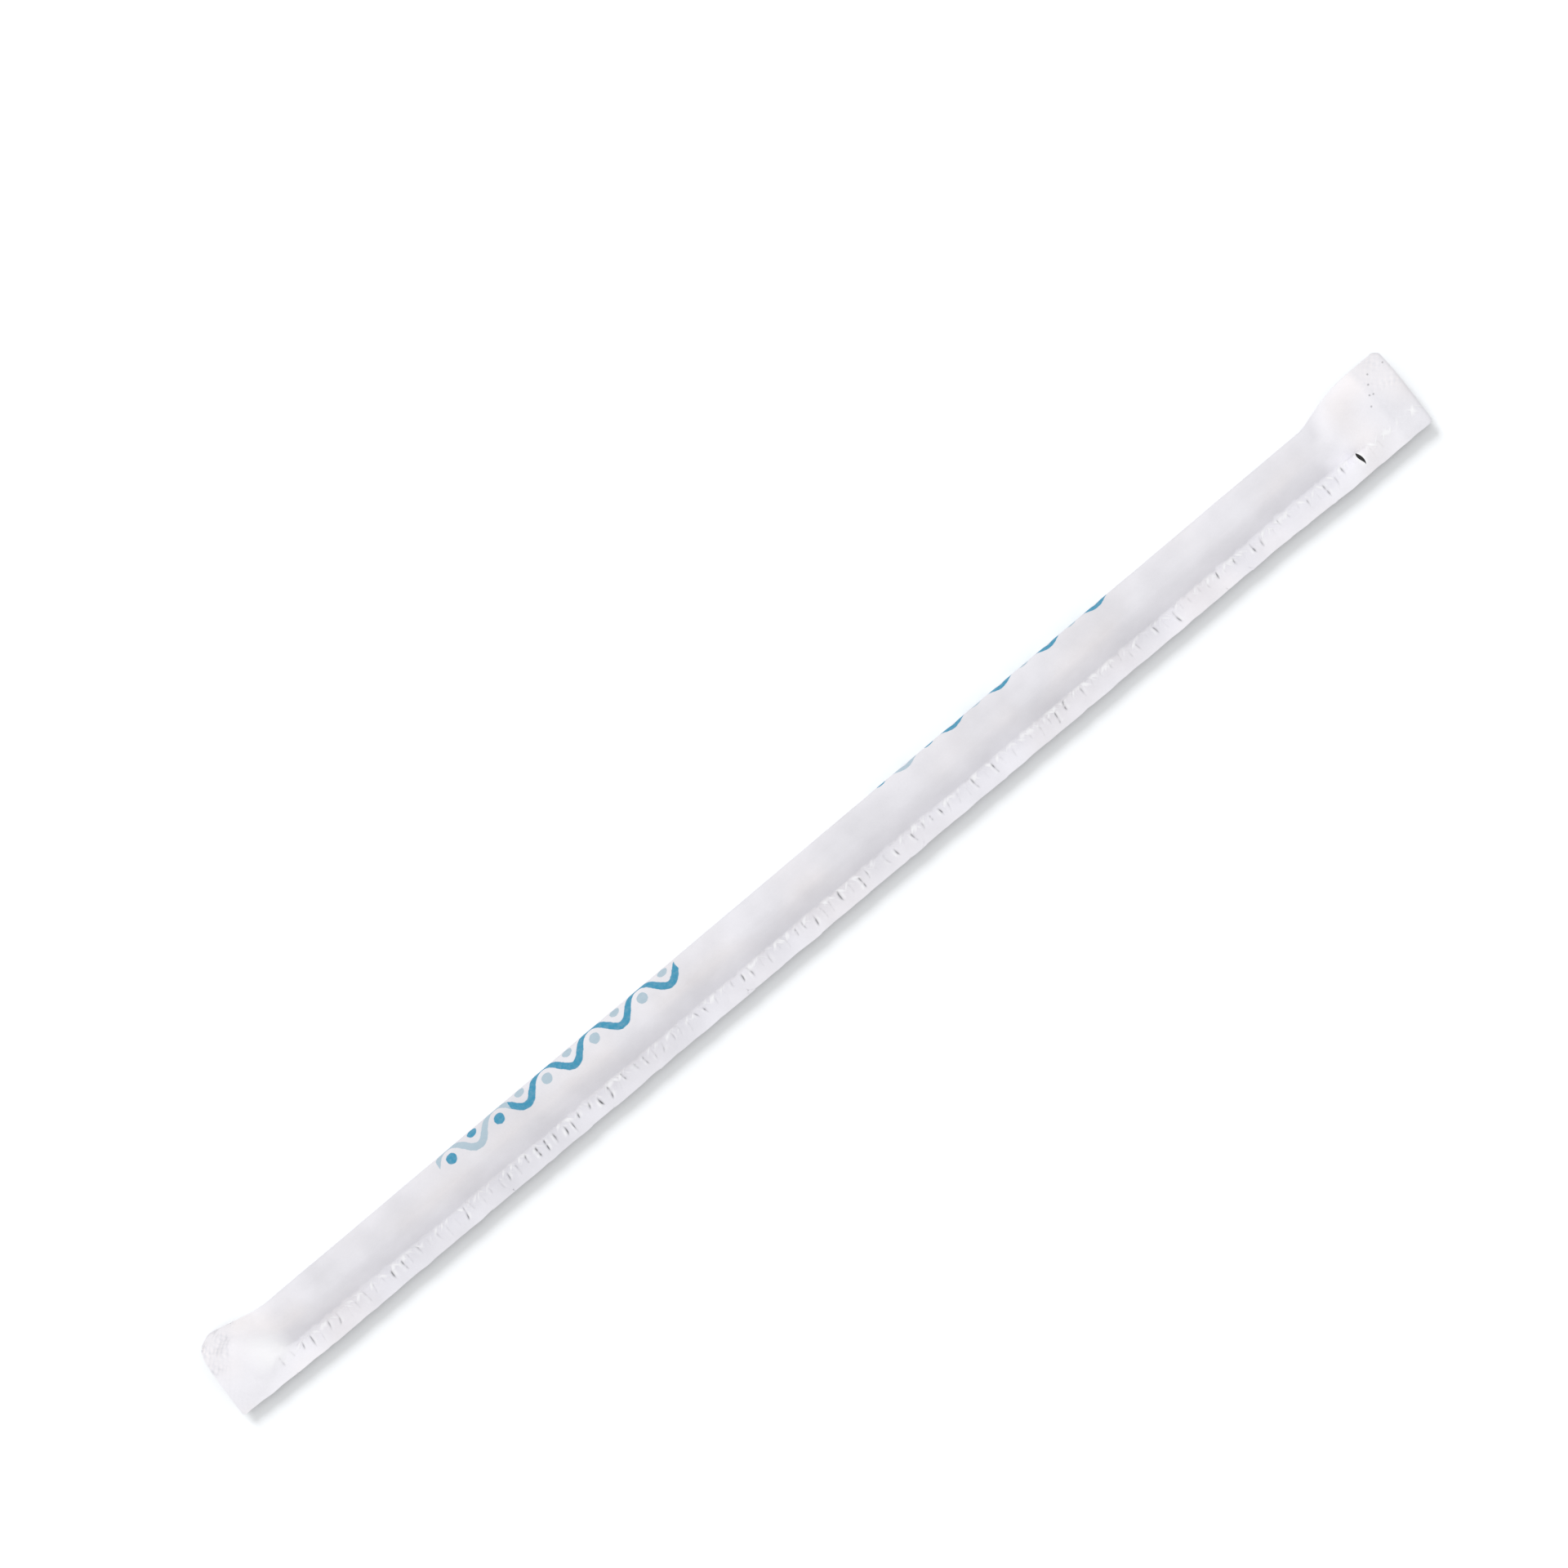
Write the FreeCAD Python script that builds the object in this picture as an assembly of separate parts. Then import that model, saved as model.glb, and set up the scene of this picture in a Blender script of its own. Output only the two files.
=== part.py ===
import FreeCAD, Part
import math
import os

# A drinking straw sealed in its own white paper wrapper, lying as it comes to rest on a table.
# The wrapper is one strip of thin paper folded lengthwise round the straw. Its two long edges are
# pressed together and crimped into a side seam, and each end is pressed flat and crimped shut.
# The straw can't be seen and can't come out while the wrapper is whole, so the sealed pack is one solid.
#
# X runs along the straw, from the left end to the right end. Y runs across it, with the side seam
# on the -Y side and the lengthwise fold on the +Y side. Z is up, and the table is at Z = 0.
# The origin is on the table, below the straw's axis, halfway along the wrapper.
# All sizes are in millimetres and all angles in degrees.

# The straw inside, which gives the wrapper its round body
STRAW_DIAMETER = 5.0
STRAW_LENGTH = 210.0

# The wrapper's paper
PAPER_THICKNESS = 0.08
POCKET_SLACK = 2.45  # the flat pocket's width beyond half of the girth of what it wraps
PRESSED_FLAT = 0.03  # how far the soft underside gives where it lies on the table

# The crimped side seam
SEAM_WIDTH = 3.8
SEAM_THICKNESS = 0.28  # two plies with the waves that the crimping wheel leaves in them
SEAM_RISE = 20.0  # the angle at which the seam stands up from the table

# The two ends. Beyond the straw the pocket tapers to a sealed flat band, curved a little across
LEFT_TAPER = 4.7  # from the straw's end to the band
LEFT_BAND_LENGTH = 6.3
LEFT_CURL = 88.0  # the angle that the band turns through, from its fold to its seam edge
LEFT_CLEARANCE = 0.5  # the height of the band's two edges above the table
LEFT_INSET = 0.6  # how far the band's seam edge lies inside the straight line of the seam
RIGHT_TAPER = 12.2
RIGHT_BAND_LENGTH = 4.8
RIGHT_CURL = 32.0
RIGHT_CLEARANCE = 1.3
RIGHT_INSET = -0.15

# The knife's outline of each end, seen from above
LEFT_CUT_SLANT = 5.5  # the angle by which the cut leans back towards the fold
LEFT_FOLD_CORNER = 3.0  # corner radii
LEFT_SEAM_CORNER = 0.5
RIGHT_CUT_SLANT = -1.5  # less than nothing: this cut leans back towards the seam
RIGHT_FOLD_CORNER = 1.2
RIGHT_SEAM_CORNER = 0.4

# The row of short dents that the crimping wheel presses across the side seam, on both faces
CRIMP_PITCH = 1.8
CRIMP_LENGTH = 2.1
CRIMP_WIDTH = 0.46
CRIMP_DEPTH = 0.15
CRIMP_FROM_ROOT = 0.3  # from the line where the seam leaves the pocket to the dents

# The grooves that the jaws press into each end band
JAW_PITCH = 1.15
JAW_WIDTH = 0.5
JAW_DEPTH = 0.1

# A small split in the seam near the right end
SPLIT_FROM_BAND = 7.8  # from the inner edge of the right band to the split's middle
SPLIT_FROM_ROOT = 0.15
SPLIT_LENGTH = 1.9
SPLIT_WIDTH = 0.6

# Worked out from the sizes above
WRAPPER_LENGTH = LEFT_BAND_LENGTH + LEFT_TAPER + STRAW_LENGTH + RIGHT_TAPER + RIGHT_BAND_LENGTH
BODY_RADIUS = STRAW_DIAMETER / 2 + PAPER_THICKNESS
POCKET_WIDTH = math.pi * BODY_RADIUS + POCKET_SLACK
FLAT_WIDTH = POCKET_WIDTH + SEAM_WIDTH
BEYOND = 2 * STRAW_DIAMETER  # how far cutting shapes reach past what they cut


def ply_length():
    """The flat stretch of each ply between the round body and the seam.

    The paper is as long round the body as it is when pressed flat: the two stretches and the arc
    between them add up to twice the pocket's width. Repeating the balance settles on the stretch.
    """
    stretch = BODY_RADIUS
    for _ in range(60):
        stretch = math.pi * BODY_RADIUS / 2 + POCKET_SLACK - BODY_RADIUS * math.atan(BODY_RADIUS / stretch)
    return stretch


PLY = ply_length()
HALF_WEDGE = math.degrees(math.atan(BODY_RADIUS / PLY))


def polar(centre, radius, angle):
    """The (y, z) point on a circle, at an angle measured from +Y towards +Z."""
    turn = math.radians(angle)
    return (centre[0] + radius * math.cos(turn), centre[1] + radius * math.sin(turn))


def line(x, start, end):
    """A straight edge between two (y, z) points in the section at x."""
    return Part.LineSegment(FreeCAD.Vector(x, *start), FreeCAD.Vector(x, *end)).toShape()


def arc(x, centre, radius, start, end):
    """A circular edge in the section at x, from one angle to another."""
    points = [polar(centre, radius, angle) for angle in (start, (start + end) / 2, end)]
    return Part.Arc(*[FreeCAD.Vector(x, *point) for point in points]).toShape()


def body_seam(from_root, above):
    """The (y, z) point of the seam over the straw, this far from its root and above its lower face."""
    out = polar((-PLY, -PRESSED_FLAT), from_root, 180 - SEAM_RISE)
    return polar(out, above, 90 - SEAM_RISE)


def body_section(x):
    """The section over the straw: a circle drawn out to the seam by two straight plies.

    The lower ply lies on the table and the upper one comes down to meet it at twice the half wedge.
    Every section has the same eight edges, in the same order, so that they join one to one.
    """
    centre = (0.0, BODY_RADIUS - PRESSED_FLAT)
    crease = math.degrees(SEAM_THICKNESS / 2 / BODY_RADIUS)
    top = 90 + 2 * HALF_WEDGE
    root_high = body_seam(0, SEAM_THICKNESS)
    edge_high = body_seam(SEAM_WIDTH, SEAM_THICKNESS)
    edge_low = body_seam(SEAM_WIDTH, 0)
    root_low = body_seam(0, 0)
    return [
        arc(x, centre, BODY_RADIUS, HALF_WEDGE + crease, top),
        line(x, polar(centre, BODY_RADIUS, top), root_high),
        line(x, root_high, edge_high),
        line(x, edge_high, edge_low),
        line(x, edge_low, root_low),
        line(x, root_low, polar(centre, BODY_RADIUS, -90)),
        arc(x, centre, BODY_RADIUS, -90, HALF_WEDGE - crease),
        arc(x, centre, BODY_RADIUS, HALF_WEDGE - crease, HALF_WEDGE + crease),
    ]


class Band:
    """One sealed end: both plies pressed together and curved about an axis below, along X."""

    def __init__(self, end_x, length, curl, clearance, inset):
        self.end_x = end_x
        self.outward = math.copysign(1, end_x)
        self.length = length
        self.inner_x = end_x - self.outward * length
        self.curl = curl
        self.radius = FLAT_WIDTH / math.radians(curl)
        self.outer = self.radius + SEAM_THICKNESS / 2
        self.inner = self.radius - SEAM_THICKNESS / 2
        half_chord = self.radius * math.sin(math.radians(curl / 2))
        drop = self.radius * math.cos(math.radians(curl / 2))
        seam_edge_y = body_seam(SEAM_WIDTH, 0)[0]
        self.centre = (seam_edge_y + inset + half_chord, clearance + SEAM_THICKNESS / 2 - drop)
        self.fold = 90 - curl / 2

    def angle(self, from_fold):
        """The angle of the point that lies this far from the fold, measured along the paper."""
        return self.fold + math.degrees(from_fold / self.radius)

    def seam(self, from_root, above):
        """The (y, z) point of the seam in the band, as body_seam gives it over the straw."""
        return polar(self.centre, self.inner + above, self.angle(POCKET_WIDTH + from_root))

    def section(self, x):
        """The same eight edges as the body's section has, pressed flat."""
        arc_end = self.angle(POCKET_WIDTH - PLY)
        root = self.angle(POCKET_WIDTH)
        edge = self.angle(FLAT_WIDTH)
        return [
            arc(x, self.centre, self.outer, self.fold, arc_end),
            arc(x, self.centre, self.outer, arc_end, root),
            arc(x, self.centre, self.outer, root, edge),
            line(x, polar(self.centre, self.outer, edge), polar(self.centre, self.inner, edge)),
            arc(x, self.centre, self.inner, edge, root),
            arc(x, self.centre, self.inner, root, arc_end),
            arc(x, self.centre, self.inner, arc_end, self.fold),
            line(x, polar(self.centre, self.inner, self.fold), polar(self.centre, self.outer, self.fold)),
        ]


LEFT_BAND = Band(-WRAPPER_LENGTH / 2, LEFT_BAND_LENGTH, LEFT_CURL, LEFT_CLEARANCE, LEFT_INSET)
RIGHT_BAND = Band(WRAPPER_LENGTH / 2, RIGHT_BAND_LENGTH, RIGHT_CURL, RIGHT_CLEARANCE, RIGHT_INSET)
BODY_LEFT = LEFT_BAND.inner_x + LEFT_TAPER
BODY_RIGHT = RIGHT_BAND.inner_x - RIGHT_TAPER


def formed_pack():
    """The pack before it is trimmed: straight rules run along X from each section to the next."""
    sections = [
        LEFT_BAND.section(LEFT_BAND.end_x),
        LEFT_BAND.section(LEFT_BAND.inner_x),
        body_section(BODY_LEFT),
        body_section(BODY_RIGHT),
        RIGHT_BAND.section(RIGHT_BAND.inner_x),
        RIGHT_BAND.section(RIGHT_BAND.end_x),
    ]
    return Part.makeLoft([Part.Wire(edges) for edges in sections], True, True)


def table():
    """The table under the pack. What the soft pack presses into it is flat."""
    corner = FreeCAD.Vector(-WRAPPER_LENGTH, -2 * FLAT_WIDTH, -BEYOND)
    return Part.makeBox(2 * WRAPPER_LENGTH, 4 * FLAT_WIDTH, BEYOND, corner)


def upright_block(corners):
    """A block that stands on these (x, y) corners and reaches from below the table to above the pack."""
    points = [FreeCAD.Vector(x, y, -BEYOND) for x, y in corners]
    return Part.Face(Part.makePolygon(points + points[:1])).extrude(FreeCAD.Vector(0, 0, 2 * BEYOND))


def trimmings(band, slant, seam_corner, fold_corner):
    """What the knife takes off one end: all that lies outside the band's outline, seen from above."""
    seam_y = polar(band.centre, band.outer, band.angle(FLAT_WIDTH))[0]
    fold_y = polar(band.centre, band.outer, band.fold)[0]
    lean = (fold_y - seam_y) * math.tan(math.radians(slant))
    seam_end = (band.end_x - band.outward * max(0.0, -lean), seam_y)
    fold_end = (band.end_x - band.outward * max(0.0, lean), fold_y)
    kept = upright_block([seam_end, fold_end, (band.inner_x, fold_y), (band.inner_x, seam_y)])
    for end, radius in ((seam_end, seam_corner), (fold_end, fold_corner)):
        corner = FreeCAD.Vector(*end, 0)
        upright = min(kept.Edges, key=lambda edge: edge.CenterOfMass.distanceToPoint(corner))
        kept = kept.makeFillet(radius, [upright])
    outside_x = band.end_x + band.outward * BEYOND
    room = upright_block([
        (outside_x, seam_y - BEYOND),
        (outside_x, fold_y + BEYOND),
        (band.inner_x, fold_y + BEYOND),
        (band.inner_x, seam_y - BEYOND),
    ])
    return room.cut(kept)


def seam_point(x, from_root, above):
    """The point of the seam at x, this far from its root and above its lower face.

    Over the straw the seam runs straight. From there to an end band it is ruled, as the pack is.
    """
    band, body_end = (LEFT_BAND, BODY_LEFT) if x < 0 else (RIGHT_BAND, BODY_RIGHT)
    share = max(0.0, (x - body_end) / (band.inner_x - body_end))
    straight = FreeCAD.Vector(x, *body_seam(from_root, above))
    pressed = FreeCAD.Vector(x, *band.seam(from_root, above))
    return straight + (pressed - straight) * share


def wedge(corners, run):
    """A three-cornered prism, from the triangle on these corners along run."""
    return Part.Face(Part.makePolygon(corners + corners[:1])).extrude(run)


def seam_dent(x, face, into):
    """One tooth mark across the seam at x: a groove from this face of the seam, into +1 up or -1 down."""
    mouth = face - into * CRIMP_DEPTH
    near = [
        seam_point(x, CRIMP_FROM_ROOT, mouth) - FreeCAD.Vector(CRIMP_WIDTH, 0, 0),
        seam_point(x, CRIMP_FROM_ROOT, mouth) + FreeCAD.Vector(CRIMP_WIDTH, 0, 0),
        seam_point(x, CRIMP_FROM_ROOT, face + into * CRIMP_DEPTH),
    ]
    run = seam_point(x, CRIMP_FROM_ROOT + CRIMP_LENGTH, face) - seam_point(x, CRIMP_FROM_ROOT, face)
    return wedge(near, run)


def seam_dents():
    """The row of dents from band to band. Those in the lower face lie halfway between the upper ones."""
    room = RIGHT_BAND.inner_x - LEFT_BAND.inner_x
    count = int(room / CRIMP_PITCH)
    first = LEFT_BAND.inner_x + (room - (count - 1) * CRIMP_PITCH) / 2
    places = [first + i * CRIMP_PITCH for i in range(count)]
    upper = [seam_dent(x, SEAM_THICKNESS, -1) for x in places]
    lower = [seam_dent(x + CRIMP_PITCH / 2, 0, 1) for x in places[:-1]]
    return Part.makeCompound(upper + lower)


def groove_across(band, x, surface, into):
    """A groove across the whole band at x, from one of its two surfaces, turned about the band's axis."""
    start = band.fold - band.curl / 2
    mouth = surface - into * JAW_DEPTH
    profile = [
        FreeCAD.Vector(x - JAW_WIDTH, *polar(band.centre, mouth, start)),
        FreeCAD.Vector(x + JAW_WIDTH, *polar(band.centre, mouth, start)),
        FreeCAD.Vector(x, *polar(band.centre, surface + into * JAW_DEPTH, start)),
    ]
    face = Part.Face(Part.makePolygon(profile + profile[:1]))
    return face.revolve(FreeCAD.Vector(0, *band.centre), FreeCAD.Vector(1, 0, 0), 2 * band.curl)


def groove_along(band, from_fold):
    """A groove along the upper face of the band, this far from its fold."""
    middle = band.angle(from_fold)
    half_mouth = math.degrees(JAW_WIDTH / band.outer)
    mouth = band.outer + JAW_DEPTH
    profile = [
        FreeCAD.Vector(band.inner_x, *polar(band.centre, mouth, middle - half_mouth)),
        FreeCAD.Vector(band.inner_x, *polar(band.centre, mouth, middle + half_mouth)),
        FreeCAD.Vector(band.inner_x, *polar(band.centre, band.outer - JAW_DEPTH, middle)),
    ]
    return wedge(profile, FreeCAD.Vector(band.outward * 2 * band.length, 0, 0))


def jaw_grooves(band):
    """The jaws' waffle: grooves across both faces of a band, and along its upper face."""
    across = [band.inner_x + band.outward * i * JAW_PITCH for i in range(1, int(band.length / JAW_PITCH) + 1)]
    upper = [groove_across(band, x, band.outer, -1) for x in across]
    lower = [groove_across(band, x - band.outward * JAW_PITCH / 2, band.inner, 1) for x in across]
    along = [groove_along(band, (i + 0.5) * JAW_PITCH) for i in range(int(FLAT_WIDTH / JAW_PITCH))]
    return Part.makeCompound(upper + lower + along)


def split():
    """The split in the seam: a narrow opening through both plies, pointed at its two ends."""
    x = RIGHT_BAND.inner_x - SPLIT_FROM_BAND
    start = seam_point(x, SPLIT_FROM_ROOT, 0)
    end = seam_point(x, SPLIT_FROM_ROOT + SPLIT_LENGTH, 0)
    through = (seam_point(x, SPLIT_FROM_ROOT, SEAM_THICKNESS) - start).normalize()
    half_width = FreeCAD.Vector(SPLIT_WIDTH / 2, 0, 0)
    middle = (start + end) / 2
    sides = [
        Part.Arc(start, middle + half_width, end).toShape(),
        Part.Arc(end, middle - half_width, start).toShape(),
    ]
    opening = Part.Face(Part.Wire(sides))
    opening.translate(through * -BEYOND)
    return opening.extrude(through * 2 * BEYOND)


def wrapped_straw():
    """The sealed pack, formed, trimmed and crimped."""
    cuts = [
        table(),
        trimmings(LEFT_BAND, LEFT_CUT_SLANT, LEFT_SEAM_CORNER, LEFT_FOLD_CORNER),
        trimmings(RIGHT_BAND, RIGHT_CUT_SLANT, RIGHT_SEAM_CORNER, RIGHT_FOLD_CORNER),
        jaw_grooves(LEFT_BAND),
        jaw_grooves(RIGHT_BAND),
        seam_dents(),
        split(),
    ]
    pack = formed_pack()
    for cut in cuts:
        pack = pack.cut(cut)
    return pack


def main():
    os.makedirs("parts", exist_ok=True)
    wrapped_straw().exportStep("parts/wrapped_straw.step")


main()
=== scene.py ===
import math
import bpy
import numpy as np
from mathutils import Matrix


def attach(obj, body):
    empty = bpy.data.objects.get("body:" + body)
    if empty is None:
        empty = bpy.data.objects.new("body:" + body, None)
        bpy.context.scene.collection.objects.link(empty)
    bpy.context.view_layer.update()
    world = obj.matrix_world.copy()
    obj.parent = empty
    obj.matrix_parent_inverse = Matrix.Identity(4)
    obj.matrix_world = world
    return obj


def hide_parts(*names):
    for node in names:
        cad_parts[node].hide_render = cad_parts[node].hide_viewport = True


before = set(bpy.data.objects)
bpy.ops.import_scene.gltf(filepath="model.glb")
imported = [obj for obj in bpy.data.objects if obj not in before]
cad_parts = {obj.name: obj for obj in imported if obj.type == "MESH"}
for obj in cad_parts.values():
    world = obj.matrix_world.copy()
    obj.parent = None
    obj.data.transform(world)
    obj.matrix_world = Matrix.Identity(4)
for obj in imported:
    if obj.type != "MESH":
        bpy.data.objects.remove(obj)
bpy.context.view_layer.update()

# The folded paper
# A strip of thin white paper is folded lengthwise round the straw. The fold side hugs the straw, and
# the two plies run on flat to the strip's long edges, which meet in the side seam.
# Sizes are in millimetres and degrees until the mesh is made.
MILLIMETRE = 0.001
WRAPPER_LENGTH = 238.0
FLAT_WIDTH = 14.36  # from the fold to the seam's edge, pressed flat
PLY_STRETCH = 5.42  # the flat stretch of each ply between the straw and the seam
TUBE_RADIUS = 2.47  # to the middle of the paper
SEAM_WIDTH = 3.8
SEAM_RISE = 20.0  # how steeply the seam stands up from the table
PLIES = 0.18  # two plies pressed together
CREASE = 0.3  # length of paper that a crease takes up
FOLD_TURN = 0.12  # length of paper that the fold of a flat end takes up
SEAM_ROWS = 12  # rows of points across each ply of the seam, and across the rest of the ply
POCKET_ROWS = 28
SECTION_STEPS = 12000  # steps in which the paper's path is summed up

seam_rows = np.linspace(0.0, SEAM_WIDTH, SEAM_ROWS + 1)
pocket_rows = np.linspace(SEAM_WIDTH, FLAT_WIDTH - FOLD_TURN, POCKET_ROWS + 1)[1:]
ply_rows = np.concatenate([seam_rows, pocket_rows, [FLAT_WIDTH - FOLD_TURN / 3, FLAT_WIDTH]])
way_round = np.concatenate([ply_rows, 2 * FLAT_WIDTH - ply_rows[-2::-1]])[:, None]
from_edge = np.minimum(way_round, 2 * FLAT_WIDTH - way_round)
fold_row = len(ply_rows) - 1
last_row = 2 * fold_row
ply_side = np.where(way_round <= FLAT_WIDTH, 1.0, -1.0)


def paper_section(stretches, heading, pin_at, pin):
    """Points and outward directions (y, z) of the paper's outside in one section across the wrapper.

    The middle of the paper is a path of stretches, each with a length and the degrees that it turns
    through. Its direction changes evenly along a stretch, and its points are the running sum of its
    directions, moved so that the point at the distance pin_at lies on pin. The outside lies half of
    the plies' thickness to the left of it.
    """
    lengths, turns = np.array(stretches).T
    marks = np.concatenate([[0.0], np.cumsum(lengths)])
    fine = np.linspace(0.0, marks[-1], SECTION_STEPS + 1)
    headings = np.radians(heading + np.concatenate([[0.0], np.cumsum(turns)]))
    angles = np.interp(fine, marks, headings)
    steps = np.stack([np.cos(angles), np.sin(angles)])[:, 1:] * fine[1]
    path = np.concatenate([np.zeros((2, 1)), np.cumsum(steps, axis=1)], axis=1)
    places = way_round[:, 0] / way_round[-1, 0] * marks[-1]
    angle = np.interp(places, fine, angles)
    outward = np.stack([-np.sin(angle), np.cos(angle)])
    middle = [np.interp(places, fine, line) - np.interp(pin_at, fine, line) for line in path]
    return np.stack(middle) + np.array(pin)[:, None] + outward * PLIES / 2, outward


wedge = 2 * math.degrees(math.atan(TUBE_RADIUS / PLY_STRETCH))
hugging = TUBE_RADIUS * math.radians(180 + wedge)
tube_points, tube_outward = paper_section(
    [
        (SEAM_WIDTH - CREASE / 2, 0.0),
        (CREASE, SEAM_RISE + wedge),
        (PLY_STRETCH - CREASE / 2, 0.0),
        (hugging, -180.0 - wedge),
        (PLY_STRETCH - CREASE / 2, 0.0),
        (CREASE, -SEAM_RISE),
        (SEAM_WIDTH - CREASE / 2, 0.0),
    ],
    -SEAM_RISE,
    SEAM_WIDTH + PLY_STRETCH + hugging,
    (0.0, PLIES / 2),
)

# The flat ends
# Past the straw the jaws of the wrapping machine press the pocket flat. Each end is a sealed band that
# keeps a slight curl across, and between it and the straw the paper closes in from round to flat.
LEFT_BAND = -112.7  # the inner edges of the pressed bands
RIGHT_BAND = 113.9
# Where the round starts to close and where it is flat: at the seam's edge, at its root and at the fold
SHOULDER_MARKS = (0.0, SEAM_WIDTH, FLAT_WIDTH)
LEFT_SHOULDER = (-103.0, -105.8, -105.2)
LEFT_FLAT = (-117.0, -109.4, -115.4)
RIGHT_SHOULDER = (90.0, 106.0, 101.3)
RIGHT_FLAT = (103.0, 110.2, 112.9)
SHOULDER_SOFTNESS = 0.3
LEFT_EASE = 1.0
RIGHT_EASE = 1.6  # the right end opens fast at its shoulder and then ever slower
# A band's curl is the width and the turn of its level part by the seam, and of its drooping part
LEFT_CURL = ((7.7, 14.0), (6.25, 53.0))
LEFT_RISE = 17.0  # the slope of the band at the seam's edge
LEFT_PLACE = (0.42, 1.32)  # the seam edge's inset from the line of the seam, and its height
RIGHT_CURL = ((8.2, 14.0), (6.1, 30.0))
RIGHT_RISE = 14.0
RIGHT_PLACE = (-0.36, 1.4)


def band_section(curl, rise, edge_place):
    """A pressed band: both plies on two arcs, a nearly level one by the seam and one that droops."""
    (level, level_turn), (droop, droop_turn) = curl
    droop -= FOLD_TURN / 2
    to_fold = [(level, -level_turn), (droop, -droop_turn)]
    from_fold = [(droop, droop_turn), (level, level_turn)]
    inset, height = edge_place
    seam_edge = (tube_points[0, 0] + inset, height)
    return paper_section(to_fold + [(FOLD_TURN, -180.0)] + from_fold, rise, 0.0, seam_edge)


def soft_ramp(distance):
    """Nothing before zero and the distance itself after it, with the bend between rounded off."""
    return (distance + np.sqrt(distance**2 + SHOULDER_SOFTNESS**2)) / 2


def pressed_share(x, shoulder, flat, ease):
    """How flat the paper is pressed: nothing at the slanting shoulder and all at the flat.

    Between them the rest that is left shrinks evenly, raised to the power of the ease.
    """
    start = np.interp(from_edge, SHOULDER_MARKS, shoulder)
    end = np.interp(from_edge, SHOULDER_MARKS, flat)
    side = np.sign(end)
    closing = soft_ramp((x - start) * side) - soft_ramp((x - end) * side)
    return 1.0 - (1.0 - np.clip(closing / np.abs(end - start), 0.0, 1.0)) ** ease


left_points, left_outward = band_section(LEFT_CURL, LEFT_RISE, LEFT_PLACE)
right_points, right_outward = band_section(RIGHT_CURL, RIGHT_RISE, RIGHT_PLACE)

# The crimped side seam
# A toothed wheel presses the two plies together, and its teeth leave a row of short dents across the
# seam. They are uneven: a few bite deep and dark, and many can hardly be seen.
DENT_PITCH = 1.8
DENT_COLUMNS = 8  # columns of points to each dent
DENT_BUNCHING = 0.62  # how far they crowd towards its middle, from 0 to 1
DENT_DEPTH = 0.2
DENT_HALF_WIDTH = 0.145
DENT_LENGTHS = (0.9, 2.1)
DENT_FROM_ROOT = (0.1, 0.8)  # from the seam's root to a dent's start
DENT_MIDDLE = SEAM_WIDTH - 1.2  # the middle of the row of dents, from the seam's edge
DEEP_SHARE = 0.3
DEEP_DENTS = (0.55, 1.0)  # a dent's depth, as a share of the greatest
FAINT_DENTS = (0.08, 0.42)
DENTED = (-110.8, 112.0)  # the stretch of the seam that the wheel crimps
DENSE_STRETCH = (-62.0, -41.0)  # where nearly every dent is deep
DENSE_SHARE = 0.9
DENSE_DEPTH = 1.15  # how much deeper the dents are there than elsewhere
OTHER_DEPTH = 0.9
SLANT_SPREAD = 0.12  # how unlike the dents are: their slants, their bends and their places
BEND_SPREAD = 0.12
SHIFT_SPREAD = 0.2
BREAK_LENGTHS = (0.5, 1.3)  # a dent is unbroken over about this length
SPLIT_AT = 106.4
SPLIT_GAP = 0.02

random = np.random.default_rng(11)
dent_count = int((RIGHT_BAND - LEFT_BAND) / DENT_PITCH)
first_dent = LEFT_BAND + (RIGHT_BAND - LEFT_BAND - (dent_count - 1) * DENT_PITCH) / 2
dent_places = first_dent + DENT_PITCH * np.arange(dent_count)
phases = (np.arange(DENT_COLUMNS) + 0.5) / DENT_COLUMNS - 0.5
bunched = phases - DENT_BUNCHING * np.sin(2 * math.pi * phases) / (2 * math.pi)
columns = np.concatenate([
    np.linspace(-WRAPPER_LENGTH / 2, LEFT_BAND, 32, endpoint=False),
    (dent_places[:, None] + DENT_PITCH * bunched).ravel(),
    np.linspace(RIGHT_BAND, WRAPPER_LENGTH / 2, 25),
])
# One column stands close on each side of the split, and no other is near it.
columns = columns[np.abs(columns - SPLIT_AT) > 4 * SPLIT_GAP]
columns = np.sort(np.concatenate([columns, SPLIT_AT + SPLIT_GAP / 2 * np.array([-1, 1])]))

in_dense = (dent_places > DENSE_STRETCH[0]) & (dent_places < DENSE_STRETCH[1])
deep = random.random(dent_count) < np.where(in_dense, DENSE_SHARE, DEEP_SHARE)
deep_depths = random.uniform(*DEEP_DENTS, dent_count)
faint_depths = random.uniform(*FAINT_DENTS, dent_count)
dent_depths = np.where(deep, deep_depths, faint_depths) * np.where(in_dense, DENSE_DEPTH, OTHER_DEPTH)
dent_depths[np.abs(dent_places - SPLIT_AT) < DENT_PITCH] = 0.0
dent_depths[(dent_places < DENTED[0]) | (dent_places > DENTED[1])] = 0.0
dent_starts = SEAM_WIDTH - random.uniform(*DENT_FROM_ROOT, dent_count)
dent_ends = dent_starts - random.uniform(*DENT_LENGTHS, dent_count)
dent_slants = random.normal(0.0, SLANT_SPREAD, dent_count)
dent_bends = random.normal(0.0, BEND_SPREAD, dent_count)
dent_shifts = random.normal(0.0, SHIFT_SPREAD, dent_count)
dent_breaks = random.uniform(*BREAK_LENGTHS, dent_count)
dent_phases = random.uniform(0.0, 2 * math.pi, dent_count)


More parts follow.
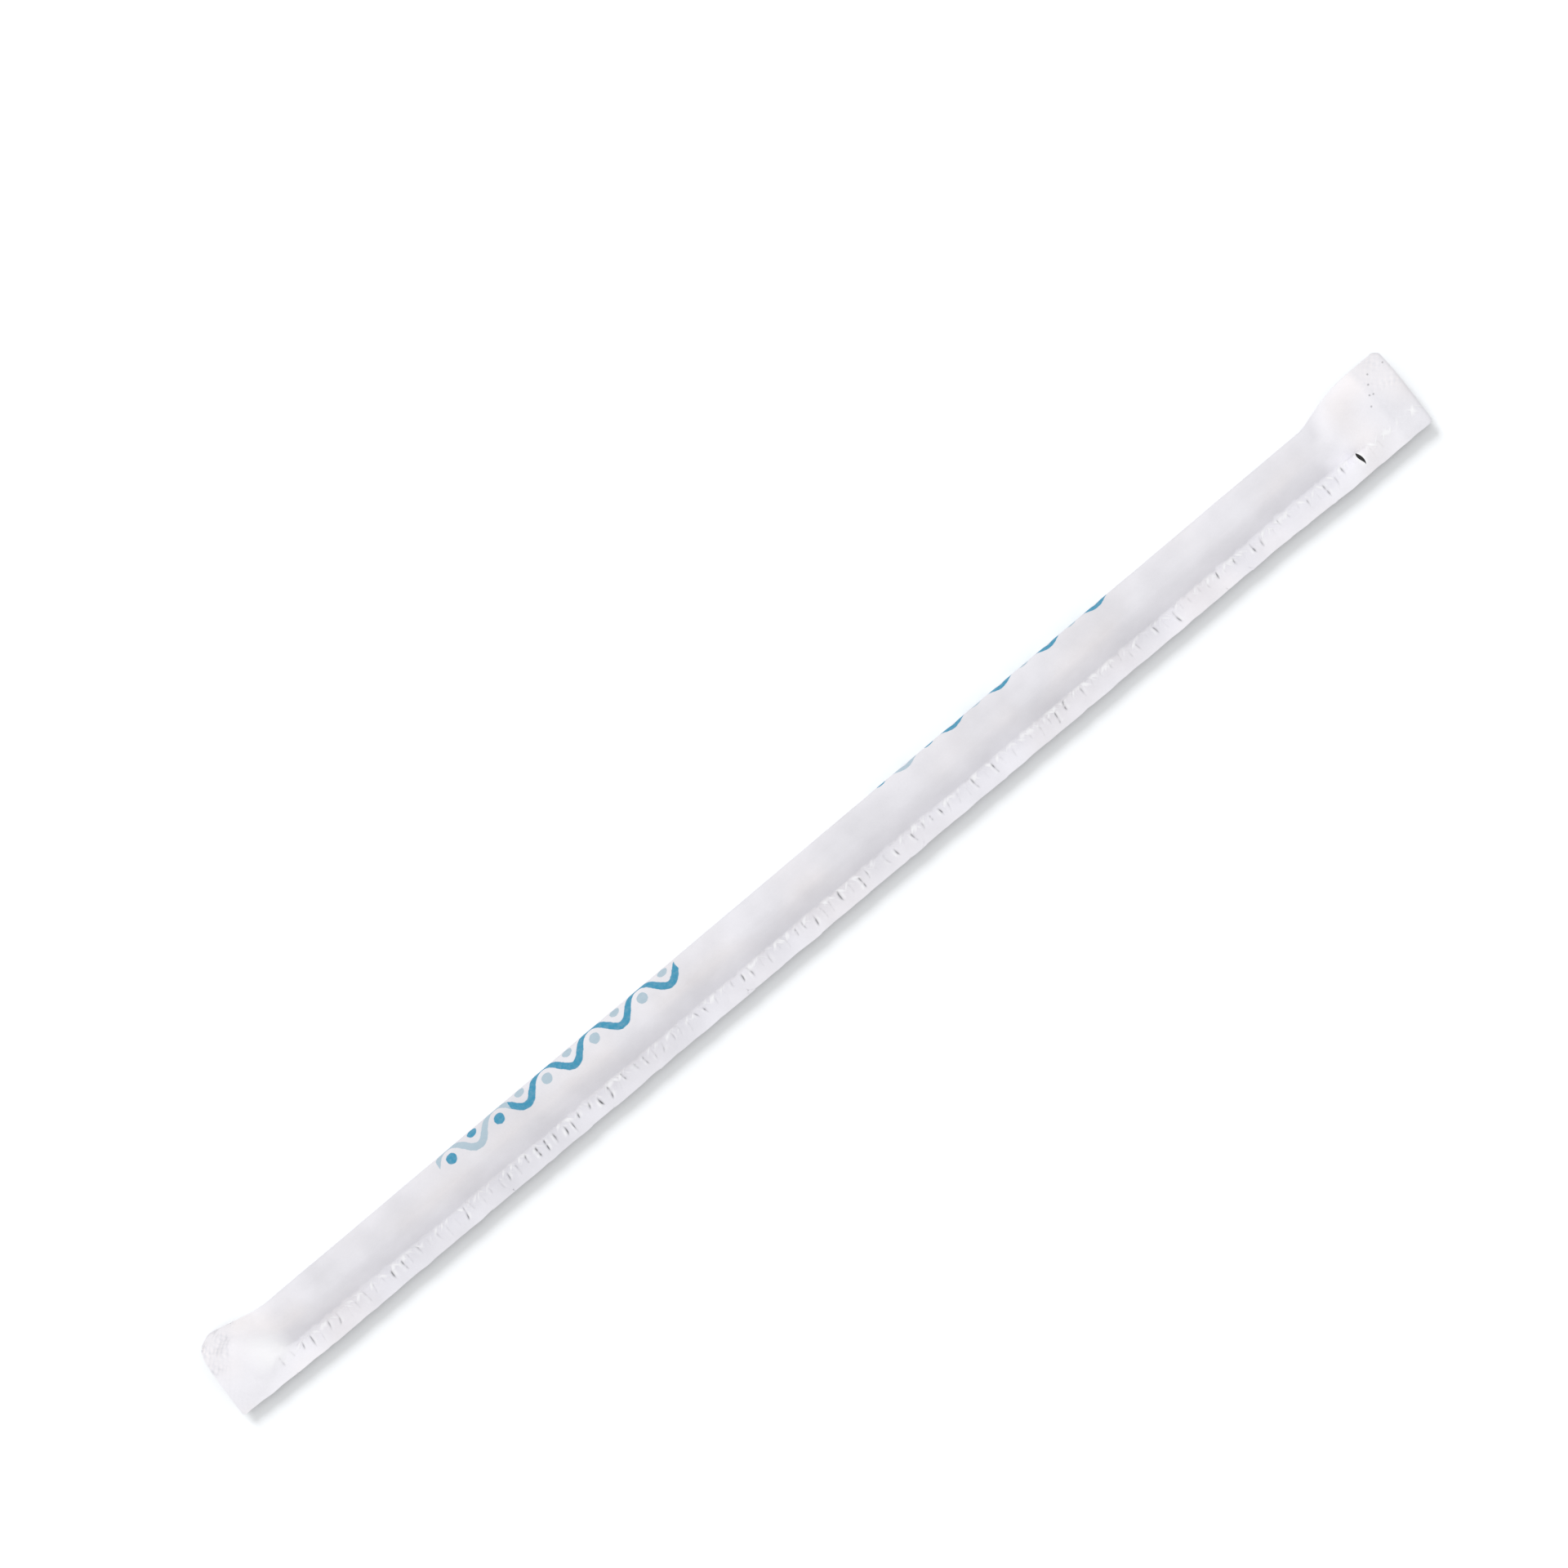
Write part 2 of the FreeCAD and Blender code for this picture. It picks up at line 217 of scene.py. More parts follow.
def seam_warp():
    """How far each point of the seam moves along X, so that the columns follow the dents' lines.

    The shift is a straight slant plus a bend that grows with the square of the distance from the
    middle of the dents. Between two dents it passes evenly from one to the other.
    """
    across = from_edge - DENT_MIDDLE
    values = [np.interp(columns, dent_places, each) for each in (dent_shifts, dent_slants, dent_bends)]
    shift, slant, bend = (value[None, :] for value in values)
    window = np.clip(1.4 - from_edge / SEAM_WIDTH, 0.0, 0.4) / 0.4
    inside = np.clip((columns - LEFT_BAND) / 3, 0, 1) * np.clip((RIGHT_BAND - columns) / 3, 0, 1)
    away_from_split = np.clip(np.abs(columns - SPLIT_AT) - 0.9, 0.0, 1.0)
    return (shift + slant * across + bend * (across**2 - 0.5)) * window * inside * away_from_split


nearest = np.abs(columns[:, None] - dent_places).argmin(axis=1)
from_dent = columns - dent_places[nearest]


def dent_strength():
    """How strong the nearest dent is at each point: its depth, with soft ends and breaks along it.

    The breaks are a sine along the dent with the dent's own length and phase, cut off below zero.
    """
    rise = np.clip((dent_starts[nearest] - from_edge) / 0.35 + 0.5, 0.0, 1.0)
    fall = np.clip((from_edge - dent_ends[nearest]) / 0.5 + 0.5, 0.0, 1.0)
    breaks = np.sin(2 * math.pi * from_edge / (2 * dent_breaks[nearest]) + dent_phases[nearest])
    return dent_depths[nearest] * rise * fall * np.clip(0.85 + 0.5 * breaks, 0.0, 1.0)


def dent_valleys():
    """How deep each point of the seam is pressed, from 0 to 1: a bell curve across each dent."""
    return dent_strength() * np.exp(-((from_dent / DENT_HALF_WIDTH) ** 2))


def dent_lips():
    """How far the paper is pushed up beside the dents, from 0 to 1: a wider bell less a narrow one.

    The lip on one side of a dent is higher than that on the other, by the dent's slant.
    """
    wide = np.exp(-((from_dent / (2.8 * DENT_HALF_WIDTH)) ** 2))
    narrow = np.exp(-((from_dent / (1.6 * DENT_HALF_WIDTH)) ** 2))
    lean = 1.0 + 0.8 * np.sign(from_dent) * np.sign(dent_slants[nearest])
    return dent_strength() * (wide - narrow) * lean


# The knife's cuts and the split
# A rotary knife cuts the wrapper from the web through both plies. The left cut runs out in a large
# round corner at the fold, and near the right end the upper ply of the seam has a small split into a pocket
# between the plies.
LEFT_SLANT = 5.0
LEFT_FOLD_CORNER = 3.4
RIGHT_SLANT = -1.5
RIGHT_FOLD_CORNER = 1.2
SEAM_CORNER = 0.45
SPLIT_ROWS = (5, 12)  # the rows of points between which the seam is split
SPLIT_HALF_WIDTH = 0.3
SPLIT_SLANT = 0.2
SPLIT_EASES_OVER = 0.7  # how far from the split the paper gives way to it
LIP_WIDTH = 0.4


def corner_setback(distance, radius):
    """How far a rounded corner lies inside the end's line, this far from the corner's side."""
    inside = np.clip(radius - distance, 0.0, radius)
    return radius - np.sqrt(radius**2 - inside**2)


def cut_setback(slant, fold_corner):
    """How far the cut lies inside the wrapper's end: a slanting line with two rounded corners."""
    lean = math.tan(math.radians(slant))
    slanted = np.maximum(0.0, lean * from_edge) + np.maximum(0.0, -lean * (FLAT_WIDTH - from_edge))
    at_fold = corner_setback(FLAT_WIDTH - from_edge, fold_corner)
    return slanted + at_fold + corner_setback(from_edge, SEAM_CORNER)


def trimmed(x):
    """The bands' points, drawn in along X so that the last column lies on the cut."""
    left_share = np.clip((LEFT_BAND - x) / (LEFT_BAND + WRAPPER_LENGTH / 2), 0.0, 1.0)
    right_share = np.clip((x - RIGHT_BAND) / (WRAPPER_LENGTH / 2 - RIGHT_BAND), 0.0, 1.0)
    left_cut = cut_setback(LEFT_SLANT, LEFT_FOLD_CORNER)
    right_cut = cut_setback(RIGHT_SLANT, RIGHT_FOLD_CORNER)
    return x + left_share * left_cut - right_share * right_cut


def split_opening():
    """How far each point of the seam gives way to the split: a leaf that is widest near the root."""
    first, last = (ply_rows[row] for row in SPLIT_ROWS)
    share = np.clip((from_edge - first) / (last - first), 0.0, 1.0)
    leaf = SPLIT_HALF_WIDTH * np.sin(math.pi * share**1.4) ** 0.8
    distance = columns - SPLIT_AT
    slanted = SPLIT_SLANT * ((first + last) / 2 - from_edge) * share * (1 - share) * 4
    return (leaf * np.sign(distance) + slanted) * np.exp(-np.abs(distance) / SPLIT_EASES_OVER)


def split_lips():
    """The paper that stands up round the split, from 0 to 1."""
    first, last = (ply_rows[row] for row in SPLIT_ROWS)
    from_first = np.clip((from_edge - first) / LIP_WIDTH + 0.5, 0.0, 1.0)
    from_last = np.clip((last - from_edge) / LIP_WIDTH + 0.7, 0.0, 1.0)
    return from_first * from_last * np.exp(-(((columns - SPLIT_AT) / LIP_WIDTH) ** 2))


# How the paper's grey changes, and where shade and highlights are painted into it
# The paper is thin, so it is greyer where it lies on the dark straw, and painted shade darkens the pocket
# by the seam's root. It is whiter at the ends and where the wheel has pressed the plies less hard together.
SHADE_MARKS = (SEAM_WIDTH, 9.0, FLAT_WIDTH)  # distances from the seam's edge
LEFT_SHADE = (-108.6, -106.9, -105.2)  # where the grey ends along the wrapper, at those distances
RIGHT_SHADE = (102.4, 101.6, 105.6)
SHOWING_MARKS = (SEAM_WIDTH, 5.7, 7.6, 9.4, 10.9, 12.0, 13.0, FLAT_WIDTH)
GREY_AND_POCKET_SHADE = (1.0, 0.88, 0.72, 0.40, 0.58, 0.80, 0.82, 0.68)  # how grey it is from the root to the fold: the straw showing through, with painted shade by the root
CRIMP_MARKS = (-110.0, -104.0, -92.0, -57.0, -30.0, 0.0, 35.0, 75.0, 112.0)
CRIMP_PRESSURE = (0.0, 0.26, 0.75, 1.0, 0.8, 0.6, 0.68, 0.45, 0.25)  # along the seam
ROOT_MARKS = (-106.0, -96.0, -82.0, -70.0, 65.0, 90.0, 100.0, 106.0)
ROOT_DRIFT = (1.0, 0.75, 0.25, 0.0, 0.0, 0.5, 0.5, 0.2)  # how far past its root the seam stays white
HIGHLIGHT_ALONG = (-113.5, -110.5, -108.0, -105.5)  # where along the wrapper the left end's flat face gets a painted highlight
HIGHLIGHT_ACROSS = (2.5, 4.5, 8.0, 11.0)
FADE_LENGTH = 4.4  # over which the grey ends
LEFT_BAND_SHADE = 0.4  # how grey the pressed bands are, the left one as painted shade of its embossing towards the fold, and the line that the jaw leaves on the right
RIGHT_BAND_GREY = 0.45
BAND_LINE_GREY = 0.25
# How strong the painted shade is that follows the embossing's ups and downs
WAFFLE_SHADE = 0.6
LIP_HIGHLIGHT = 1.5  # how strong the painted highlights are, where light would catch the lips beside the dents and the split
# how strong the painted highlight on the left end's flat face is
LEFT_HIGHLIGHT_STRENGTH = 0.8

# The wrapper's skin
# The points of both plies are worked out on one grid: a column for each place along the wrapper and a
# row for each distance round the paper. A last row between the plies closes the seam's edge.
WAFFLE_PITCH = 1.15
WAFFLE_DEPTH = 0.12
WAFFLE_DRIFT = 1.1  # how far its rows stray from straight lines, in radians
RIGHT_WAFFLE = 0.4  # how strong the waffle is on the right band, as a share of the left one's
LEFT_CRIMP = (-116.5, -110.8)  # the left waffle's inner edge runs aslant, from mid-width to the fold
LIP_HEIGHT = 0.1  # of the paper pushed up beside a dent, and beside the split
SPLIT_LIP_HEIGHT = 0.14
SEAM_RIPPLE = 0.02
ROOT_RIPPLE = 0.06
SMOOTH_WRINKLE = 0.015  # everywhere, and how much more where the pocket is slack
SLACK_WRINKLE = 0.15
PUCKER_HEIGHT = 0.09  # of the gathers where the round starts to close
PUCKER_WIDTH = 0.7
EDGE_WAVE = 0.055
EDGE_GAP = 0.08  # how far the slit between the plies reaches in from a cut edge


def soft_waves(count, lengths, directions):
    """An even mix of seeded plane waves over the flat paper, each with its own length and direction."""
    total = np.zeros((len(way_round), len(columns)))
    for _ in range(count):
        turn = math.radians(random.uniform(*directions))
        pace = 2 * math.pi / random.uniform(*lengths)
        phase = random.uniform(0.0, 2 * math.pi)
        total += np.sin(pace * (columns * math.cos(turn) + way_round * math.sin(turn)) + phase)
    return total / math.sqrt(count)


def bell(distance, width):
    """A bell curve: one at no distance, and falling to nothing within a few widths."""
    return np.exp(-((distance / width) ** 2))


def waffle_rows(distance):
    """Rows of ups and downs: a cosine of the distance, whose phase strays by a mix of soft waves."""
    drift = WAFFLE_DRIFT * soft_waves(5, (2.5, 6.0), (0, 180))
    return np.cos(2 * math.pi * distance / WAFFLE_PITCH + drift)


along = trimmed(columns + seam_warp() + split_opening())
left_share = pressed_share(along, LEFT_SHOULDER, LEFT_FLAT, LEFT_EASE)
right_share = pressed_share(along, RIGHT_SHOULDER, RIGHT_FLAT, RIGHT_EASE)
tube_share = 1.0 - left_share - right_share
sections = (
    (tube_share, tube_points, tube_outward),
    (left_share, left_points, left_outward),
    (right_share, right_points, right_outward),
)
points = sum(share * section[:, :, None] for share, section, _ in sections)
outward = sum(share * direction[:, :, None] for share, _, direction in sections)
outward /= np.sqrt((outward**2).sum(axis=0))

in_seam = np.clip((SEAM_WIDTH - from_edge) / 0.4, 0.0, 1.0)
left_crimp = np.interp(from_edge, [6.0, FLAT_WIDTH], LEFT_CRIMP)
by_fold = np.clip((from_edge - 5.0) / 4.0, 0.25, 1.0)
on_left_band = np.clip((left_crimp - columns) / 1.2 + 0.5, 0.0, 1.0) * by_fold
on_right_band = np.clip((columns - RIGHT_BAND) / 0.6 + 0.5, 0.0, 1.0)
waffle = waffle_rows(columns) * waffle_rows(from_edge) * (0.9 + 0.6 * soft_waves(5, (2.0, 5.0), (0, 180)))
waffle *= on_left_band + RIGHT_WAFFLE * on_right_band * by_fold
valleys = dent_valleys()
pressed = LIP_HEIGHT * dent_lips() + SPLIT_LIP_HEIGHT * split_lips() + WAFFLE_DEPTH * waffle
pressed -= DENT_DEPTH * valleys
seam_ripple = SEAM_RIPPLE * soft_waves(8, (1.6, 5.0), (-15, 15)) * in_seam
by_root = np.clip(1.0 - np.abs(from_edge - 3.1) / 0.9, 0.0, 1.0)
seam_ripple += ROOT_RIPPLE * soft_waves(12, (0.9, 2.4), (-50, 50)) * by_root
slack = np.clip(1.0 - np.abs(from_edge - 6.5) / 3.5, 0.0, 1.0) * tube_share
wrinkles = (SLACK_WRINKLE * slack + SMOOTH_WRINKLE) * soft_waves(10, (5.0, 22.0), (-40, 40))
past_left = columns - np.interp(from_edge, SHOULDER_MARKS, LEFT_SHOULDER)
past_right = columns - np.interp(from_edge, SHOULDER_MARKS, RIGHT_SHOULDER)
in_pocket = np.clip((from_edge - SEAM_WIDTH) / 1.5, 0.0, 1.0) * np.clip((10.0 - from_edge) / 4.0, 0.0, 1.0)
pucker = PUCKER_HEIGHT * in_pocket * (bell(past_left, PUCKER_WIDTH) + bell(past_right - 0.5, PUCKER_WIDTH))
# What lies on the table stays flat.
clear_of_table = np.where(way_round > FLAT_WIDTH + 2.0, 0.0, 1.0)
points += outward * (ply_side * (pressed + seam_ripple) + clear_of_table * (wrinkles + pucker))
by_edge = np.clip(1.0 - from_edge / 2.5, 0.0, 1.0) ** 2
points[0] += EDGE_WAVE * soft_waves(7, (3.0, 22.0), (0, 0)) * by_edge

grid = np.stack([along, points[0], points[1]], axis=-1)
inward = grid[[1, -2]].mean(axis=0) - grid[[0, -1]].mean(axis=0)
inward /= np.sqrt((inward**2).sum(axis=-1))[:, None]
seam_middle = grid[[0, -1]].mean(axis=0) + inward * EDGE_GAP
skin = np.concatenate([grid, seam_middle[None]])

column_count = len(columns)
number = np.arange(skin.shape[0] * column_count).reshape(skin.shape[0], column_count)
ring = np.concatenate([number, number[:1]])
paper_corner = np.concatenate([number[:-1], number[-2:-1], number[:1]])
near_edge = np.arange(1, fold_row)


def strips(index):
    """The four corners of every face between one row of a numbered grid and the next."""
    return np.stack([index[:-1, :-1], index[:-1, 1:], index[1:, 1:], index[1:, :-1]], axis=-1)


# Between the plies at both cut ends lies one more line of points, a little way in.
ends = []
end_points = []
for column, side in ((0, 1.0), (column_count - 1, -1.0)):
    middle = (grid[near_edge, column] + grid[last_row - near_edge, column]) / 2
    end_points.append(middle + np.array([side * EDGE_GAP, 0.0, 0.0]))
    between = number.size + sum(len(made) for made in end_points[:-1]) + np.arange(len(near_edge))
    line = np.concatenate([[number[-1, column]], between, [number[fold_row, column]]])
    line = np.concatenate([line, line[-2::-1]])
    rim = number[:last_row + 1, column]
    cap = np.stack([rim[:-1], rim[1:], line[1:], line[:-1]], axis=-1)
    cap_corner = np.stack([rim[:-1], rim[1:], rim[1:], rim[:-1]], axis=-1)
    order = [0, 1, 2, 3] if side > 0 else [1, 0, 3, 2]
    ends.append((cap[:, order], cap_corner[:, order]))

faces = strips(ring)
corners = strips(paper_corner[:len(ring)])
corners[-1] = np.stack([number[0, :-1], number[0, 1:], number[0, 1:], number[0, :-1]], axis=-1)

# The split is a pocket between the plies: two long walls, two short ones and a bottom.
split_column = int(np.searchsorted(columns, SPLIT_AT)) - 1
split_first, split_last = SPLIT_ROWS
kept = np.ones(faces.shape[:2], bool)
kept[split_first:split_last, split_column] = False
pair = np.array([split_column, split_column + 1])
mouth_rows = np.arange(split_first, split_last + 1)
mouth = number[mouth_rows[:, None], pair]
under = grid[(last_row - mouth_rows)[:, None], pair]
bottom_points = 0.3 * grid[mouth_rows[:, None], pair] + 0.7 * under
bottom = number.size + sum(len(made) for made in end_points) + np.arange(mouth.size).reshape(mouth.shape)
end_points.append(bottom_points.reshape(-1, 3))
walls = np.concatenate([
    np.stack([mouth[1:, 0], mouth[:-1, 0], bottom[:-1, 0], bottom[1:, 0]], axis=-1),
    np.stack([mouth[:-1, 1], mouth[1:, 1], bottom[1:, 1], bottom[:-1, 1]], axis=-1),
    [[mouth[0, 0], mouth[0, 1], bottom[0, 1], bottom[0, 0]]],
    [[mouth[-1, 1], mouth[-1, 0], bottom[-1, 0], bottom[-1, 1]]],
    np.stack([bottom[:-1, 0], bottom[:-1, 1], bottom[1:, 1], bottom[1:, 0]], axis=-1),
])
wall_corners = np.full_like(walls, mouth[0, 0])

all_faces = np.concatenate([faces[kept], ends[0][0], ends[1][0], walls])
all_corners = np.concatenate([corners[kept], ends[0][1], ends[1][1], wall_corners])
own_corner = all_faces != np.roll(all_faces, -1, axis=1)
face_starts = np.concatenate([[0], np.cumsum(own_corner.sum(axis=1))[:-1]])
face_corners = all_faces[own_corner]
flat_corners = all_corners[own_corner]
vertices = np.concatenate([skin.reshape(-1, 3)] + end_points) * MILLIMETRE

mesh = bpy.data.meshes.new("paper_wrapper")
mesh.vertices.add(len(vertices))
mesh.vertices.foreach_set("co", vertices.ravel())
mesh.loops.add(len(face_corners))
mesh.loops.foreach_set("vertex_index", face_corners)
mesh.polygons.add(len(face_starts))
mesh.polygons.foreach_set("loop_start", face_starts)
mesh.update(calc_edges=True)
mesh.shade_smooth()

# The cut edges stay sharp, so that the light doesn't run smoothly round them.
on_rim = np.zeros(len(vertices), bool)
on_rim[number[[0, last_row]]] = True
on_rim[number[:last_row + 1, [0, -1]]] = True
on_rim[mouth] = True
edge_ends = np.empty(2 * len(mesh.edges), int)
mesh.edges.foreach_get("vertices", edge_ends)
sharp = on_rim[edge_ends.reshape(-1, 2)].all(axis=1)
mesh.attributes.new("sharp_edge", "BOOLEAN", "EDGE").data.foreach_set("value", sharp)

# The map is the paper laid out flat, and its unit is the wrapper's length.
flat_map = np.stack([along + WRAPPER_LENGTH / 2, way_round + np.zeros_like(along)], axis=-1).reshape(-1, 2)
flat_map = flat_map[flat_corners] / WRAPPER_LENGTH
mesh.uv_layers.new(name="flat_paper").data.foreach_set("uv", flat_map.astype(np.float32).ravel())


def paint(name, values):
    """Keep one value for each point of the grid, with nothing on the points between the plies."""
    painted = np.zeros(len(vertices), np.float32)
    painted[:number[-1, 0]] = (values + np.zeros_like(along)).ravel()
    mesh.attributes.new(name, "FLOAT", "POINT").data.foreach_set("value", painted)


scallops = 0.2 * soft_waves(8, (1.2, 4.0), (0, 0)) + 0.1 * soft_waves(4, (8.0, 20.0), (0, 0))
white_width = SEAM_WIDTH + np.interp(columns, ROOT_MARKS, ROOT_DRIFT) + scallops
past_root = np.clip((from_edge - white_width) / 0.45 + 0.5, 0.0, 1.0)
straying = 0.5 * soft_waves(6, (3.0, 9.0), (0, 180))
past_left_end = columns - np.interp(from_edge, SHADE_MARKS, LEFT_SHADE) + straying
before_right_end = np.interp(from_edge, SHADE_MARKS, RIGHT_SHADE) - columns + straying
left_fade = np.clip(past_left_end / FADE_LENGTH + 0.5, 0.0, 1.0)
right_fade = np.clip(before_right_end / FADE_LENGTH + 0.5, 0.0, 1.0)
before_shoulders = left_fade**2 * (3 - 2 * left_fade) * right_fade**2 * (3 - 2 * right_fade)
# Grey where the dark straw shows through, and painted shade in the pocket by the seam's root.
paint("straw_and_pocket_shade", past_root * before_shoulders * np.interp(from_edge, SHOWING_MARKS, GREY_AND_POCKET_SHADE))
crimp_share = np.interp(columns, CRIMP_MARKS, CRIMP_PRESSURE) * (1.0 - past_root)
band_line = bell(columns - RIGHT_BAND, 0.35)
# Painted shade of the left band's embossing towards the fold, the right band's grey, and the jaw's line.
left_band_shade = LEFT_BAND_SHADE * on_left_band * np.clip((from_edge - 5.0) / 4.0, 0.0, 1.0)
band_share = left_band_shade + RIGHT_BAND_GREY * on_right_band + BAND_LINE_GREY * band_line
paint("crimp_grey_and_embossing_shade", np.maximum(crimp_share, band_share) + WAFFLE_SHADE * waffle)
# Where fine pulls by the seam's root are bumped and get painted highlights.
paint("pulls", np.clip(1.15 - np.abs(from_edge - 3.35) / 0.75, 0.0, 1.0) * left_fade)
# Painted shade in the dents' hollows, where the crushed paper is also greyer.
paint("dent_shading", valleys)
# A painted highlight on the left end's flat face, between the band and the straw.
left_end_highlight = np.interp(columns, HIGHLIGHT_ALONG, (0.0, 1.0, 1.0, 0.0))
left_end_highlight = left_end_highlight * np.interp(from_edge, HIGHLIGHT_ACROSS, (0.0, 1.0, 0.7, 0.0))
# Painted highlights on the lips beside the dents and the split, and on the left end's flat face.
paint("raised", LIP_HIGHLIGHT * (dent_lips() + split_lips()) + LEFT_HIGHLIGHT_STRENGTH * left_end_highlight)
from_cut = WRAPPER_LENGTH / 2 - columns
paint("cut_shade", bell(from_cut, 0.3) + 0.5 * bell(from_cut, 0.9))
# The bottom of the split's pocket is painted dark, for the shadow inside it.
split_shadow = np.zeros(len(vertices), np.float32)
split_shadow[bottom] = 1.0
mesh.attributes.new("inside", "FLOAT", "POINT").data.foreach_set("value", split_shadow)

wrapper = bpy.data.objects.new("paper_wrapper", mesh)
bpy.context.scene.collection.objects.link(wrapper)

# The paper's finish and its print
# Thin uncoated white paper, greyer where the dark straw shows through it. Painted shade darkens the pocket
# by the seam's root, the dents, the embossing, the pits and the split, and painted highlights lighten the
# lips and the left end. Two lengths of a plain wave with dots are printed on it in a teal ink and a pale
# grey-blue one.
WHITE_PAPER = (0.915, 0.905, 0.95, 1.0)
WARM_WHITE_PAPER = (0.925, 0.89, 0.905, 1.0)
# The crimped seam's grey, also used for the painted shade of the embossing.
CRIMP_GREY_AND_SHADE = (0.785, 0.78, 0.825, 1.0)
# The straw's grey, also used for the painted shade in the pocket by the seam's root.
STRAW_GREY_AND_POCKET_SHADE = (0.745, 0.735, 0.775, 1.0)
# The white of the painted highlights.
HIGHLIGHT_WHITE = (0.97, 0.97, 0.985, 1.0)
# A grey for painted shade: in the dents, along the right cut and in the pits.
SHADE_GREY = (0.16, 0.16, 0.17, 1.0)
# A near-black painted shadow for the bottom of the split's pocket.
SPLIT_SHADOW = (0.02, 0.02, 0.02, 1.0)
TEAL_INK = (0.05, 0.30, 0.47, 1.0)
PALE_INK = (0.44, 0.56, 0.64, 1.0)
MOTIF_LENGTH = 47.5
WAVE_LENGTH = 9.5
WAVE_HEIGHT = 1.9
WAVE_HALF_WIDTH = 0.56
DOT_RADIUS = 0.9
DOT_FROM_MIDDLE = 0.7
INK_EDGE = 0.07
SWAPPED_INKS = 14.25  # over this first stretch the line is pale and the dots are teal
# Where each print starts, from the wrapper's left end, and where its middle line lies, from the seam's edge
FIRST_PRINT = (47.75, 13.4)
SECOND_PRINT = (134.6, 16.1)
PRINT_WOBBLE = (0.28, 0.28, 0.0)  # how far the ink's outline strays on the rough paper
INK_COVER = 0.82  # the least share that the ink covers, and how much more it covers in places
INK_PATCHES = 0.3
CLOUDS = 0.34  # how much the paper's brightness changes in large patches and in its fibres
FIBRES = 0.05
# How strong the painted shade is in the dents, along the right cut and in the pits
DENT_SHADE_STRENGTH = 1.1
CUT_DARKNESS = 0.15
PIT_SHADE = 0.5
PIT_RADIUS = 0.14
# Small pits in a slanting row by the right band, drawn only as dots of painted shade: where along the
# wrapper, and how far from the seam's edge
PITS = ((115.4, 12.1), (114.4, 10.8), (113.5, 9.4), (114.1, 9.2), (112.6, 7.9), (118.4, 12.0))
STREAK_LEANS = (0.8, -0.7)
SMOOTHEST = 0.78  # the paper's least roughness, and how much rougher its fibres are
FIBRE_ROUGHNESS = 0.12
GRAIN_HEIGHT = 0.02


def place(tree, kind, inputs=(), **settings):
    """Add one node with its settings, and give each named input a value or another node's output."""
    node = tree.nodes.new(kind)
    for name, value in settings.items():
        setattr(node, name, value)
    for name, value in inputs:
        if isinstance(value, bpy.types.NodeSocket):
            tree.links.new(value, node.inputs[name])
        else:
            node.inputs[name].default_value = value
    return node


def work(tree, operation, *values):
    """The result of one sum on numbers or other nodes' outputs."""
    return place(tree, "ShaderNodeMath", list(enumerate(values)), operation=operation).outputs[0]


def fade(tree, value, full, nothing):
    """One where the value is at full, zero where it is at nothing, and even steps between."""
    ends = [("Value", value), ("From Min", nothing), ("From Max", full)]
    return place(tree, "ShaderNodeMapRange", ends, interpolation_type="SMOOTHSTEP").outputs[0]


def mixed(tree, share, first, second, blend="MIX"):
    """The first colour passing into the second by this share."""
    made = place(tree, "ShaderNodeMix", [("Factor", share)], data_type="RGBA", blend_type=blend)
    for socket, value in ((made.inputs[6], first), (made.inputs[7], second)):
        if isinstance(value, bpy.types.NodeSocket):
            tree.links.new(value, socket)
        else:
            socket.default_value = value
    return made.outputs[2]


def new_group(name, inputs, outputs):
    """An empty node group with these named number inputs and outputs."""
    group = bpy.data.node_groups.new(name, "ShaderNodeTree")
    for label in inputs:
        group.interface.new_socket(label, in_out="INPUT", socket_type="NodeSocketFloat")
    for label in outputs:
        group.interface.new_socket(label, in_out="OUTPUT", socket_type="NodeSocketFloat")
    return group, group.nodes.new("NodeGroupInput").outputs, group.nodes.new("NodeGroupOutput").inputs


